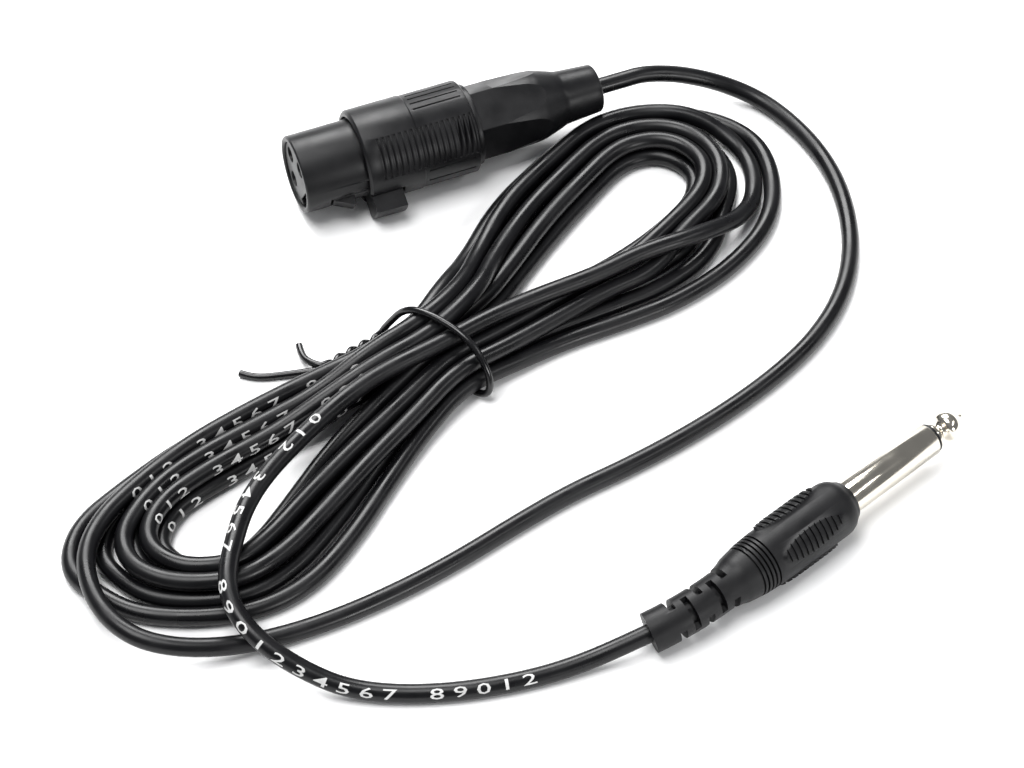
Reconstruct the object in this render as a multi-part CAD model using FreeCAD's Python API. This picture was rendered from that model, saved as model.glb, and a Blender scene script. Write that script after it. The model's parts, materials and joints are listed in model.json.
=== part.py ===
"""Microphone cord, three-pole female connector to 6.35 mm jack, folded into a tied hank.

Millimetres, +Z up. The cord lies on the floor plane Z = 0. The origin is on the floor under
the middle of the two connectors. Each sub-part is a solid of its own in parts/.
"""
import FreeCAD, Part
import itertools
import math
import os
from FreeCAD import Placement, Rotation, Vector

os.makedirs("parts", exist_ok=True)

# Where the two connectors and the waist of the hank lie on the floor
XLR_FACE = Vector(-62.4, 40.8, 9.65)
XLR_AZIMUTH = 22.2
XLR_ROLL = 123.5
JACK_FACE = Vector(42.0, -37.4, 5.74)
JACK_AZIMUTH = 40.8
WAIST = Vector(-32.9, -2.6, 0.08)
HANK_AZIMUTH = 36.0

# Cord
CORD_D = 3.5
CORD_R = CORD_D / 2
WIRE_R = 0.55

# Three-pole connector: nose, collar and boot, measured back from the front face
NOSE_R = 7.95
NOSE_BORE_R = 6.75
NOSE_LENGTH = 36.2
COLLAR_FRONT = 12.7
COLLAR_END = 36.4
COLLAR_R = 9.65
COLLAR_STEP = 24.4
COLLAR_REAR_R = 9.5
RIB_GROOVE_DEPTH = 0.3
RIB_GROOVE_WIDTH = 0.5
RIB_HALF_ANGLE = 26.0
RIB_CENTRE_ANGLE = 68.5
FRONT_RIB_ROWS = [15.7 + 1.2 * i for i in range(8)]
REAR_RIB_ROWS = [24.9 + 1.15 * i for i in range(10)]
LONG_GROOVE_ANGLES = (17.5, 36.5, 119.5, 129.5, 139.5, 149.5)
LONG_GROOVE_HALF_ANGLE = 1.2
INSERT_R = 6.7
INSERT_FACE = 0.5
INSERT_SPLIT = 15.0
INSERT_END = 27.4
CONTACT_BORE_R = 1.22
CONTACT_BORE_DEPTH = 10.0
CONTACT_R = 1.55
CONTACT_FRONT = 1.3
SHOULDER_R = 1.9
SHOULDER_HALF = 0.8
CUP_START = 22.8
CUP_END = 24.6
CUP_R = 1.2
CONTACT_PLACES = {"xlr_contact_1": (-3.9, 0.0), "xlr_contact_2": (3.9, 0.0), "xlr_contact_3": (0.0, -4.2)}

# Latch lever, in the connector's own frame with the latch on top
LATCH_HALF_WIDTH = 2.8
LATCH_FRONT = 5.4
LATCH_REAR = 25.6
LATCH_UNDERSIDE = 6.7
LATCH_REAR_TOP = 7.15
LATCH_BOSS_R = 1.25
PIVOT_X = 24.0
PIVOT_Z = 6.6
PIN_R = 0.6
BUTTON_FRONT = 12.9
BUTTON_REAR = 19.4
BUTTON_HALF_WIDTH = 3.2
BUTTON_R = 13.0
GROOVE_FLOOR = 4.5
GROOVE_HALF_WIDTH = 3.1
SLOT_HALF_WIDTH = 3.0
SLOT_END = 27.0
WINDOW_HALF_WIDTH = 3.45
SPRING_THICKNESS = 0.28
SPRING_HALF_WIDTH = 1.5

# Boot screwed into the nose shell, and the chuck inside it
BOOT_END = 65.0
BOOT_SPIGOT_R = 6.65
BOOT_BORE_R = 2.2
BOOT_CHUCK_BORE_R = 5.4
BOOT_FLAT_START = 37.6
BOOT_FLAT = 6.9
BOOT_FLAT_ANGLE = 23.5
CORD_CLAMPED_AT = 31.0
CHUCK_BORE_R = CORD_R + 0.05
CHUCK_END = 42.0
CHUCK_SLIT_START = 33.0
CHUCK_SLIT_HALF = 0.4

# Jack, measured forward from the body's front face
SLEEVE_R = 3.175
SLEEVE_NECK_R = 3.0
SLEEVE_BORE_R = 2.6
SLEEVE_CHAMFER = 0.2
SLEEVE_FRONT = 21.7
SLEEVE_REAR = -6.0
FLANGE_R = 4.2
FLANGE_THICKNESS = 1.2
RING_FRONT = 22.3
RING_R = 2.95
WASHER_R = 3.6
WASHER_THICKNESS = 0.8
LUG_EYE_R = 2.6
ROD_R = 1.25
ROD_REAR = -9.6
JACK_BODY_R = 5.5
JACK_CORD_START = -16.0
MOULD_R = 4.4
MOULD_FRONT = -1.2
MOULD_REAR = -20.0
PAD_R = 6.05
PAD_CENTRE = -12.8
PAD_LENGTH = 14.2
PAD_WIDTH = 4.6
PAD_ANGLES = (41, 131, 221, 311)
PAD_RIB_PITCH = 1.25
PAD_RIBS = 11
BODY_RINGS = (-21.9, -22.8, -23.7, -24.6, -25.5)
BODY_RING_FLOOR_R = 4.75
RELIEF_R = 3.85
RELIEF_START = -32.0
RELIEF_BEND_R = 41.0
RELIEF_BEND = 21.0
RELIEF_SIDE = 0.84
RELIEF_SLOT_ROWS = (-31.0, -33.8, -36.5, -39.3, -42.0)
RELIEF_SLOT_WIDTH = 1.3
RELIEF_SLOT_FLOOR_R = 2.45
RELIEF_SLOT_HALF_ANGLE = 55
RELIEF_VIEW_ANGLE = 53.0

# Hank: strands side by side and on top of each other, one pitch apart
PITCH = 4.05
TIE_WIRE_R = 0.62
WAIST_LIFT = 1.6
SHOULDER_LIFT = 0.6

ORIGIN = Vector(0, 0, 0)
X_AXIS = Vector(1, 0, 0)
Y_AXIS = Vector(0, 1, 0)
Z_AXIS = Vector(0, 0, 1)

XLR_PLACE = Placement(XLR_FACE, Rotation(Z_AXIS, XLR_AZIMUTH) * Rotation(X_AXIS, XLR_ROLL))
JACK_PLACE = Placement(JACK_FACE, Rotation(Z_AXIS, JACK_AZIMUTH))
HANK_PLACE = Placement(WAIST, Rotation(Z_AXIS, HANK_AZIMUTH))


# General shapes


def save(node, shape, place=None):
    """Write one node, moved from its own frame to the part's frame."""
    solid = shape.copy()
    if place is not None:
        solid.Placement = place.multiply(solid.Placement)
    if len(solid.Solids) == 1:
        solid = solid.Solids[0]
    solid.exportStep(f"parts/{node}.step")
    print(f"{node}: {len(solid.Solids)} solid, valid {solid.isValid()}, {solid.Volume:.1f} mm3")


def turned(outline):
    """Solid of revolution about the X axis from (x, radius) corners."""
    corners = [Vector(x, 0, r) for x, r in outline]
    face = Part.Face(Part.makePolygon(corners + corners[:1]))
    return face.revolve(ORIGIN, X_AXIS, 360)


def rod(x0, x1, radius, y=0.0, z=0.0):
    """Cylinder along X."""
    return Part.makeCylinder(radius, x1 - x0, Vector(x0, y, z), X_AXIS)


def tube(x0, x1, outer, inner, y=0.0, z=0.0):
    """Pipe along X."""
    return rod(x0, x1, outer, y, z).cut(rod(x0 - 1, x1 + 1, inner, y, z))


def block(x0, x1, y0, y1, z0, z1):
    """Box between two corners."""
    return Part.makeBox(x1 - x0, y1 - y0, z1 - z0, Vector(x0, y0, z0))


def extruded(outline, half_width):
    """Plate from (x, z) corners, thick along Y."""
    corners = [Vector(x, -half_width, z) for x, z in outline]
    return Part.Face(Part.makePolygon(corners + corners[:1])).extrude(Vector(0, 2 * half_width, 0))


def ring_sector(x0, x1, inner, outer, centre, half_angle):
    """Part of a ring about X, centred on an angle turned from +Z about +X."""
    corners = [Vector(x0, 0, inner), Vector(x1, 0, inner), Vector(x1, 0, outer), Vector(x0, 0, outer)]
    face = Part.Face(Part.makePolygon(corners + corners[:1]))
    face.rotate(ORIGIN, X_AXIS, centre - half_angle)
    return face.revolve(ORIGIN, X_AXIS, 2 * half_angle)


# Cord paths


def rounded_route(points, label):
    """Wire of straight runs joined by tangent arcs; prints its least radius and its length."""
    edges = []
    radii = []
    start = points[0]
    for before, corner, after in zip(points, points[1:], points[2:]):
        inward = (corner - before).normalize()
        onward = (after - corner).normalize()
        half_turn = inward.getAngle(onward) / 2
        reach = 0.45 * min((corner - before).Length, (after - corner).Length)
        radius = reach / math.tan(half_turn)
        radii.append(radius)
        arc_start = corner - inward * reach
        arc_end = corner + onward * reach
        to_centre = (onward - inward).normalize()
        centre = corner + to_centre * (radius / math.cos(half_turn))
        middle = centre - to_centre * radius
        edges.append(Part.LineSegment(start, arc_start).toShape())
        edges.append(Part.Arc(arc_start, middle, arc_end).toShape())
        start = arc_end
    edges.append(Part.LineSegment(start, points[-1]).toShape())
    wire = Part.Wire(edges)
    sharpest = sorted(radii)[:3]
    print(f"{label}: length {wire.Length:.1f}, least radii {[round(r, 1) for r in sharpest]}")
    return wire


def swept(wire, radius, label):
    """Tube along a wire; prints its volume against section times length."""
    first = wire.Edges[0]
    start = first.valueAt(first.FirstParameter)
    along = first.tangentAt(first.FirstParameter)
    circle = Part.Wire([Part.Circle(start, along, radius).toShape()])
    solid = wire.makePipeShell([circle], True, False)
    ideal = math.pi * radius ** 2 * wire.Length
    print(f"{label}: volume {solid.Volume:.1f} of {ideal:.1f}")
    return solid


def tangent_arc(start, tangent, end):
    """Arc, or line where it is straight, from a start with its direction to an end."""
    chord = end - start
    angle = tangent.getAngle(chord)
    if angle < 1e-4:
        return Part.LineSegment(start, end).toShape()
    straight = Vector(chord).normalize()
    bulge = (tangent - straight * tangent.dot(straight)).normalize()
    middle = (start + end) * 0.5 + bulge * (chord.Length / 2 * math.tan(angle / 2))
    return Part.Arc(start, middle, end).toShape()


def biarc(start, start_way, end, end_way):
    """Two arcs that meet smoothly between two stations with their directions."""
    chord = end - start
    both = start_way + end_way
    spread = 2 * (1 - start_way.dot(end_way))
    along = chord.dot(both)
    if spread < 1e-6:
        reach = chord.dot(chord) / (2 * along)
    else:
        reach = (-along + math.sqrt(along ** 2 + spread * chord.dot(chord))) / spread
    joint = (start + start_way * reach + end - end_way * reach) * 0.5
    return [tangent_arc(start, start_way, joint), tangent_arc(end, end_way * -1, joint)]


def station_ways(points):
    """Direction at each station: that of the circle through it and its two neighbours.

    A station on the floor has a level direction, so that nothing dips below it.
    """
    ways = []
    for before, here, after in zip(points, points[1:], points[2:]):
        back = here - before
        ahead = after - here
        way = Vector(back).normalize() * ahead.Length + Vector(ahead).normalize() * back.Length
        if here.z < CORD_R + 0.01:
            way.z = 0.0
        ways.append(way.normalize())
    return ways


# Three-pole connector, modelled with its axis along X, its face at X = 0 and its latch on top


def latch_slot():
    """Opening in the nose shell that the lever lies in."""
    return block(LATCH_FRONT - 0.5, SLOT_END, -SLOT_HALF_WIDTH, SLOT_HALF_WIDTH, 5.0, 9.0)


def xlr_nose_shell():
    shell = turned([
        (0.0, 7.05), (0.0, 7.65), (0.3, NOSE_R), (NOSE_LENGTH, NOSE_R),
        (NOSE_LENGTH, NOSE_BORE_R), (0.3, NOSE_BORE_R),
    ])
    pin_hole = Part.makeCylinder(PIN_R, 20, Vector(PIVOT_X, -10, PIVOT_Z), Y_AXIS)
    return shell.cut(latch_slot()).cut(pin_hole)


def rib_grooves():
    """Grooves that leave the grip's ribs standing, on both sides of the latch."""
    rows = [(x, COLLAR_R) for x in FRONT_RIB_ROWS] + [(x, COLLAR_REAR_R) for x in REAR_RIB_ROWS]
    return [
        ring_sector(x, x + RIB_GROOVE_WIDTH, radius - RIB_GROOVE_DEPTH, 11, side, RIB_HALF_ANGLE)
        for x, radius in rows
        for side in (-RIB_CENTRE_ANGLE, RIB_CENTRE_ANGLE)
    ]


def long_grooves():
    """Fine lengthwise grooves on the collar's rear half."""
    return [
        ring_sector(25.2, 35.2, COLLAR_REAR_R - 0.25, 11, side * angle, LONG_GROOVE_HALF_ANGLE)
        for angle in LONG_GROOVE_ANGLES
        for side in (-1, 1)
    ]


def xlr_grip_collar():
    collar = turned([
        (COLLAR_FRONT, 8.45), (COLLAR_FRONT, 9.15), (COLLAR_FRONT + 0.5, COLLAR_R),
        (COLLAR_STEP - 0.15, COLLAR_R), (COLLAR_STEP, COLLAR_REAR_R),
        (COLLAR_END - 0.3, COLLAR_REAR_R), (COLLAR_END, COLLAR_REAR_R - 0.3),
        (COLLAR_END, NOSE_R), (COLLAR_FRONT + 1.0, NOSE_R), (COLLAR_FRONT + 1.0, 8.45),
    ])
    window = block(COLLAR_FRONT - 1, BUTTON_REAR + 0.5, -WINDOW_HALF_WIDTH, WINDOW_HALF_WIDTH, 6.0, 12.0)
    return collar.cut(window).cut(rib_grooves() + long_grooves())


def latch_groove(x0, x1):
    """Groove along the insert for the lever's travel, and the keyway at the face."""
    return block(x0, x1, -GROOVE_HALF_WIDTH, GROOVE_HALF_WIDTH, GROOVE_FLOOR, 9.0)


def xlr_insert_front():
    insert = rod(INSERT_FACE, INSERT_SPLIT, INSERT_R)
    holes = []
    for y, z in CONTACT_PLACES.values():
        holes.append(rod(0, INSERT_SPLIT + 1, CONTACT_R + 0.05, y, z))
        holes.append(rod(INSERT_SPLIT - SHOULDER_HALF, INSERT_SPLIT + 1, SHOULDER_R + 0.05, y, z))
    return insert.cut(latch_groove(0, INSERT_SPLIT + 1)).cut(holes)


def xlr_insert_rear():
    insert = rod(INSERT_SPLIT, 22.2, INSERT_R).fuse(tube(22.2, INSERT_END, INSERT_R, 5.4))
    holes = []
    for y, z in CONTACT_PLACES.values():
        holes.append(rod(INSERT_SPLIT - 1, 30, CUP_R + 0.05, y, z))
        holes.append(rod(INSERT_SPLIT - 1, INSERT_SPLIT + SHOULDER_HALF, SHOULDER_R + 0.05, y, z))
    return insert.cut(latch_groove(INSERT_SPLIT - 1, 30)).cut(holes)


def xlr_contact():
    """Female contact with a slit socket, a shoulder held in the insert and a solder cup."""
    socket_end = CONTACT_FRONT + CONTACT_BORE_DEPTH
    near, far = INSERT_SPLIT - SHOULDER_HALF, INSERT_SPLIT + SHOULDER_HALF
    contact = turned([
        (CONTACT_FRONT, CONTACT_BORE_R), (CONTACT_FRONT, CONTACT_R), (near, CONTACT_R),
        (near, SHOULDER_R), (far, SHOULDER_R), (far, CUP_R), (CUP_END, CUP_R),
        (CUP_END, WIRE_R), (CUP_START, WIRE_R), (CUP_START, 0), (socket_end, 0),
        (socket_end, CONTACT_BORE_R),
    ])
    slit = block(CONTACT_FRONT - 1, CONTACT_FRONT + 6.5, -0.15, 0.15, -3.0, 0.0)
    return contact.cut(slit)


def xlr_latch_lever():
    tongue = block(LATCH_FRONT, LATCH_REAR, -LATCH_HALF_WIDTH, LATCH_HALF_WIDTH, LATCH_UNDERSIDE, 9.0)
    tongue = tongue.common(rod(LATCH_FRONT, LATCH_REAR, NOSE_R - 0.05))
    tongue = tongue.cut(block(PIVOT_X, LATCH_REAR + 1, -5, 5, LATCH_REAR_TOP, 9.0))
    hook = extruded([(5.5, 7.0), (5.5, 7.5), (9.4, 9.4), (9.8, 9.4), (9.8, 7.0)], 2.2)
    neck = block(BUTTON_FRONT, BUTTON_REAR, -LATCH_HALF_WIDTH, LATCH_HALF_WIDTH, 7.0, 9.2)
    cap = block(BUTTON_FRONT, BUTTON_REAR, -BUTTON_HALF_WIDTH, BUTTON_HALF_WIDTH, 9.05, 14.0)
    crown = turned([
        (12.0, 0), (12.0, 12.0), (13.5, 12.9), (BUTTON_REAR, BUTTON_R), (20.0, BUTTON_R), (20.0, 0),
    ])
    cap = cap.common(crown)
    boss_foot = Vector(PIVOT_X, -LATCH_HALF_WIDTH, PIVOT_Z)
    boss = Part.makeCylinder(LATCH_BOSS_R, 2 * LATCH_HALF_WIDTH, boss_foot, Y_AXIS)
    boss = boss.common(rod(20, 28, NOSE_R - 0.25))
    bore = Part.makeCylinder(PIN_R + 0.05, 8, Vector(PIVOT_X, -4, PIVOT_Z), Y_AXIS)
    return tongue.fuse([hook, neck, cap, boss]).removeSplitter().cut(bore)


def xlr_latch_pin():
    return Part.makeCylinder(PIN_R, 8.6, Vector(PIVOT_X, -4.3, PIVOT_Z), Y_AXIS).common(rod(20, 30, NOSE_R))


def xlr_latch_spring():
    """Leaf spring on the insert, its free end close under the lever near the pivot."""
    foot_top = GROOVE_FLOOR + SPRING_THICKNESS
    leaf = [
        (12.0, GROOVE_FLOOR), (16.5, GROOVE_FLOOR), (21.3, 6.0), (21.3, 6.0 + SPRING_THICKNESS),
        (16.4, foot_top), (12.0, foot_top),
    ]
    return extruded(leaf, SPRING_HALF_WIDTH)


def xlr_strain_chuck():
    """Slit collet that the boot squeezes on the cord."""
    chuck = turned([
        (27.6, 4.9), (27.6, 6.55), (28.8, 6.55), (28.8, 5.0), (40.0, 5.0), (CHUCK_END, 3.4),
        (CHUCK_END, CHUCK_BORE_R), (CORD_CLAMPED_AT, CHUCK_BORE_R), (30.0, 2.4),
    ])
    flat = block(CHUCK_SLIT_START, CHUCK_END + 1, -CHUCK_SLIT_HALF, CHUCK_SLIT_HALF, -6, 6)
    upright = block(CHUCK_SLIT_START, CHUCK_END + 1, -6, 6, -CHUCK_SLIT_HALF, CHUCK_SLIT_HALF)
    return chuck.cut([flat, upright])


def xlr_boot():
    """Screwed boot with six flats, a tapering neck and an end ring."""
    boot = turned([
        (29.0, BOOT_CHUCK_BORE_R), (29.0, BOOT_SPIGOT_R), (COLLAR_END, BOOT_SPIGOT_R), (COLLAR_END, 8.1),
        (COLLAR_END + 0.25, 8.36), (37.2, 8.36), (50.0, 7.42), (52.0, 7.13), (54.0, 6.56),
        (56.0, 5.92), (57.0, 5.55), (58.0, 5.45), (64.6, 4.95), (BOOT_END, 4.6),
        (BOOT_END, BOOT_BORE_R), (46.0, BOOT_BORE_R), (42.8, BOOT_CHUCK_BORE_R),
    ])
    corner = BOOT_FLAT / math.cos(math.radians(30))
    turns = [math.radians(BOOT_FLAT_ANGLE + 30 + 60 * i) for i in range(6)]
    corners = [Vector(BOOT_FLAT_START, -corner * math.sin(a), corner * math.cos(a)) for a in turns]
    prism = Part.Face(Part.makePolygon(corners + corners[:1])).extrude(Vector(30, 0, 0))
    keep = prism.fuse(rod(20, BOOT_FLAT_START, 12))
    return boot.common(keep)


def soldered_wire(y, label):
    """Core from a solder cup to the end of the cord's jacket."""
    inside = math.copysign(0.75, y)
    route = [
        Vector(CUP_START + 0.1, y, 0), Vector(26.0, y, 0), Vector(29.6, inside, 0),
        Vector(CORD_CLAMPED_AT, inside, 0),
    ]
    return swept(rounded_route(route, label), WIRE_R, label)


def xlr_link_wire():
    """Short wire that joins the ground contact to the contact beside it."""
    (y1, z1), (y3, z3) = CONTACT_PLACES["xlr_contact_1"], CONTACT_PLACES["xlr_contact_3"]
    start = Vector(23.8, y1, z1)
    way = Vector(23.8, y3, z3) - start
    link = Part.makeCylinder(0.3, way.Length, start, way)
    return link.cut([rod(20, 30, CUP_R, y1, z1), rod(20, 30, CUP_R, y3, z3)])


def xlr_cord_end():
    return rod(CORD_CLAMPED_AT, BOOT_END, CORD_R)


def make_xlr():
    save("xlr_nose_shell", xlr_nose_shell(), XLR_PLACE)
    save("xlr_grip_collar", xlr_grip_collar(), XLR_PLACE)
    save("xlr_insert_front", xlr_insert_front(), XLR_PLACE)
    save("xlr_insert_rear", xlr_insert_rear(), XLR_PLACE)
    for node, (y, z) in CONTACT_PLACES.items():
        save(node, xlr_contact().translated(Vector(0, y, z)), XLR_PLACE)
    save("xlr_latch_lever", xlr_latch_lever(), XLR_PLACE)
    save("xlr_latch_pin", xlr_latch_pin(), XLR_PLACE)
    save("xlr_latch_spring", xlr_latch_spring(), XLR_PLACE)
    save("xlr_strain_chuck", xlr_strain_chuck(), XLR_PLACE)
    save("xlr_boot", xlr_boot(), XLR_PLACE)
    save("xlr_hot_wire", soldered_wire(3.9, "xlr_hot_wire"), XLR_PLACE)
    save("xlr_shield_tail", soldered_wire(-3.9, "xlr_shield_tail"), XLR_PLACE)
    save("xlr_link_wire", xlr_link_wire(), XLR_PLACE)
    save("xlr_cord_end", xlr_cord_end(), XLR_PLACE)


# Jack, modelled with its tip towards +X and its body's front face at X = 0


def jack_tip():
    """Tip and its rod, one turned piece; the tip's outline is a smooth curve."""
    start = (23.0, 2.5)
    bulb = [
        start, (23.7, 1.8), (24.3, 1.4), (24.8, 1.75), (25.3, 2.5), (26.5, 2.85), (27.7, 2.45),
        (28.8, 1.35), (29.6, 0.85), (30.3, 0.5),
    ]
    curve = Part.BSplineCurve()
    curve.interpolate([Vector(x, 0, r) for x, r in bulb])
    corners = [
        (30.3, 0.5), (30.5, 0.0), (ROD_REAR, 0.0), (ROD_REAR, ROD_R), (RING_FRONT, ROD_R),
        (RING_FRONT, 2.55), start,
    ]
    runs = [Vector(x, 0, r) for x, r in corners]
    edges = [curve.toShape()] + [Part.LineSegment(a, b).toShape() for a, b in zip(runs, runs[1:])]
    face = Part.Face(Part.Wire(edges))
    return face.revolve(ORIGIN, X_AXIS, 360)


def jack_sleeve():
    """Plated sleeve; its step stands on the body's face, its neck and flange are moulded in."""
    flange_front = SLEEVE_REAR + FLANGE_THICKNESS
    return turned([
        (SLEEVE_REAR, SLEEVE_BORE_R), (SLEEVE_REAR, FLANGE_R), (flange_front, FLANGE_R),
        (flange_front, SLEEVE_NECK_R), (0.0, SLEEVE_NECK_R), (0.0, SLEEVE_R),
        (SLEEVE_FRONT - SLEEVE_CHAMFER, SLEEVE_R), (SLEEVE_FRONT, SLEEVE_R - SLEEVE_CHAMFER),
        (SLEEVE_FRONT, SLEEVE_BORE_R),
    ])


def jack_front_ring():
    return tube(SLEEVE_FRONT, RING_FRONT, RING_R, ROD_R)


def jack_inner_insulator():
    return tube(SLEEVE_REAR, SLEEVE_FRONT, SLEEVE_BORE_R, ROD_R)


def jack_rear_washer():
    return tube(SLEEVE_REAR - WASHER_THICKNESS, SLEEVE_REAR, WASHER_R, ROD_R)


def jack_tip_lug():
    eye_front = SLEEVE_REAR - WASHER_THICKNESS
    eye = rod(-8.0, eye_front, LUG_EYE_R)
    strip = block(-13.0, eye_front, -1.2, 1.2, 1.9, 2.4)
    return eye.fuse(strip).removeSplitter().cut(rod(-20, 0, ROD_R))


def jack_sleeve_lug():
    return block(-14.0, SLEEVE_REAR, -1.5, 1.5, -4.1, -3.65)


def jack_hot_wire():
    corners = [(JACK_CORD_START, 0.8), (-14.6, 0.8), (-12.6, 1.33), (-10.6, 1.33)]
    route = [Vector(x, 0, z) for x, z in corners]
    return swept(rounded_route(route, "jack_hot_wire"), WIRE_R, "jack_hot_wire")


def jack_shield_tail():
    corners = [(JACK_CORD_START, -0.8), (-14.6, -0.8), (-12.8, -3.08), (-10.9, -3.08)]
    route = [Vector(x, 0, z) for x, z in corners]
    return swept(rounded_route(route, "jack_shield_tail"), WIRE_R, "jack_shield_tail")


def relief_place(x):
    """Frame on the jack's axis at x, which bends to one side and down in the strain relief."""
    if x >= RELIEF_START:
        return Placement(Vector(x, 0, 0), Rotation())
    angle = (RELIEF_START - x) / RELIEF_BEND_R
    side, down = RELIEF_SIDE, -math.sqrt(1 - RELIEF_SIDE ** 2)
    off = RELIEF_BEND_R * (1 - math.cos(angle))
    place = Vector(RELIEF_START - RELIEF_BEND_R * math.sin(angle), side * off, down * off)
    return Placement(place, Rotation(Vector(0, down, -side), math.degrees(angle)))


RELIEF_END = RELIEF_START - RELIEF_BEND_R * math.radians(RELIEF_BEND)


def relief_arc():
    """Bent part of the axis."""
    middle = (RELIEF_START + RELIEF_END) / 2
    places = [relief_place(x).Base for x in (RELIEF_START, middle, RELIEF_END)]
    return Part.Arc(*places).toShape()


def jack_cord_end():
    """Cord inside the moulding, from its stripped end to the mouth of the strain relief."""
    straight = Part.LineSegment(Vector(JACK_CORD_START, 0, 0), Vector(RELIEF_START, 0, 0)).toShape()
    return swept(Part.Wire([straight, relief_arc()]), CORD_R, "jack_cord_end")


def grip_pads():
    """Four raised oval pads with cross ribs."""
    shell = tube(-25, -1, PAD_R, JACK_BODY_R - 0.5)
    rows = [PAD_CENTRE - 6.5 + PAD_RIB_PITCH * i for i in range(PAD_RIBS)]
    grooves = [tube(x, x + 0.5, 8, JACK_BODY_R + 0.2) for x in rows]
    pads = []
    for angle in PAD_ANGLES:
        outline = Part.Ellipse(Vector(PAD_CENTRE, 0, 0), PAD_LENGTH / 2, PAD_WIDTH / 2).toShape()
        prism = Part.Face(Part.Wire([outline])).extrude(Vector(0, 0, 8))
        prism.rotate(ORIGIN, X_AXIS, 90 - angle)
        pads.append(prism.common(shell).cut(grooves))
    return pads


def relief_slots():
    """Rows of slots that let the relief bend, turned a quarter from row to row."""
    slots = []
    half = RELIEF_SLOT_WIDTH / 2
    for row, x in enumerate(RELIEF_SLOT_ROWS):
        turn = RELIEF_VIEW_ANGLE if row % 2 else RELIEF_VIEW_ANGLE + 90
        for side in (0, 180):
            middle = 90 - turn + side
            slot = ring_sector(-half, half, RELIEF_SLOT_FLOOR_R, 6.0, middle, RELIEF_SLOT_HALF_ANGLE)
            slot.Placement = relief_place(x)
            slots.append(slot)
    return slots


def jack_body():
    """Moulded grip with its pads, ring grooves and slotted strain relief."""
    shell = turned([
        (0.0, 0), (0.0, 3.55), (-0.35, 4.0), (-1.0, 4.35), (-2.0, 5.07), (-3.0, 5.4),
        (-4.0, JACK_BODY_R), (-20.5, JACK_BODY_R), (-24.0, 5.3), (-26.0, 5.0), (-28.0, 4.68), (-29.0, 4.33),
        (-30.0, 4.1), (-31.0, 3.95), (RELIEF_START, RELIEF_R), (RELIEF_START, 0),
    ])
    relief = swept(Part.Wire([relief_arc()]), RELIEF_R, "strain relief")
    body = shell.fuse([relief] + grip_pads())
    rings = [tube(x, x + 0.4, 8, BODY_RING_FLOOR_R) for x in BODY_RINGS]
    body = body.cut(rings).cut(relief_slots())
    held = [rod(MOULD_REAR, MOULD_FRONT, MOULD_R), rod(MOULD_FRONT - 1, 1, SLEEVE_NECK_R), jack_cord_end()]
    body = body.cut(held)
    return body.removeSplitter()


def jack_inner_mould():
    """Hard block moulded round the lugs and the stripped end of the cord."""
    held = [
        rod(SLEEVE_REAR, 0, SLEEVE_NECK_R), rod(SLEEVE_REAR, SLEEVE_REAR + FLANGE_THICKNESS, FLANGE_R),
        rod(SLEEVE_REAR - WASHER_THICKNESS, SLEEVE_REAR, WASHER_R), rod(ROD_REAR, SLEEVE_REAR, ROD_R),
        rod(MOULD_REAR - 1, JACK_CORD_START, CORD_R),
        jack_tip_lug(), jack_sleeve_lug(), jack_hot_wire(), jack_shield_tail(),
    ]
    return rod(MOULD_REAR, MOULD_FRONT, MOULD_R).cut(held)


def make_jack():
    save("jack_tip", jack_tip(), JACK_PLACE)
    save("jack_sleeve", jack_sleeve(), JACK_PLACE)
    save("jack_front_ring", jack_front_ring(), JACK_PLACE)
    save("jack_inner_insulator", jack_inner_insulator(), JACK_PLACE)
    save("jack_rear_washer", jack_rear_washer(), JACK_PLACE)
    save("jack_sleeve_lug", jack_sleeve_lug(), JACK_PLACE)
    save("jack_tip_lug", jack_tip_lug(), JACK_PLACE)
    save("jack_inner_mould", jack_inner_mould(), JACK_PLACE)
    save("jack_body", jack_body(), JACK_PLACE)
    save("jack_hot_wire", jack_hot_wire(), JACK_PLACE)
    save("jack_shield_tail", jack_shield_tail(), JACK_PLACE)
    save("jack_cord_end", jack_cord_end(), JACK_PLACE)


# Hank. Its frame has U along the loops, V across them and the waist at the origin. A strand has
# a column, from 0 at the outer edge inwards, and a row, from 0 on the floor up. A station gives
# the places of column 0 and column 3 on the floor, and the loops lie between them in step.

RIGHT_STATIONS = [
    ((0, 14.18), (0, 2.03), "waist"),
    ((9, 17.4), (15, 6.8), "shoulder"),
    ((20, 23.4), (25.5, 12.4), "neck"),
    ((33, 29.2), (37, 17.4), "run"),
    ((47, 32.8), (48, 20.5), "beside the boot"),
    ((60, 34.0), (59, 21.6), "beside the boot"),
    ((71, 31.5), (66, 20.3), "past the boot"),
    ((79.5, 24), (69.5, 17), "loop"),
    ((83, 13), (70.7, 12.3), "loop"),
    ((82, 2), (68.5, 8), "loop"),
    ((75, -7), (63.5, 5.3), "loop"),
    ((62, -11.5), (54, 3.6), "loop"),
    ((48, -12.3), (45, 2.4), "loop"),
    ((36, -12.0), (35, 1.6), "run"),
    ((24, -11.6), (24, 1.2), "neck"),
    ((12, -10.9), (12, 1.3), "shoulder"),
    ((0, -10.13), (0, 2.03), "waist"),
]
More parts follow.
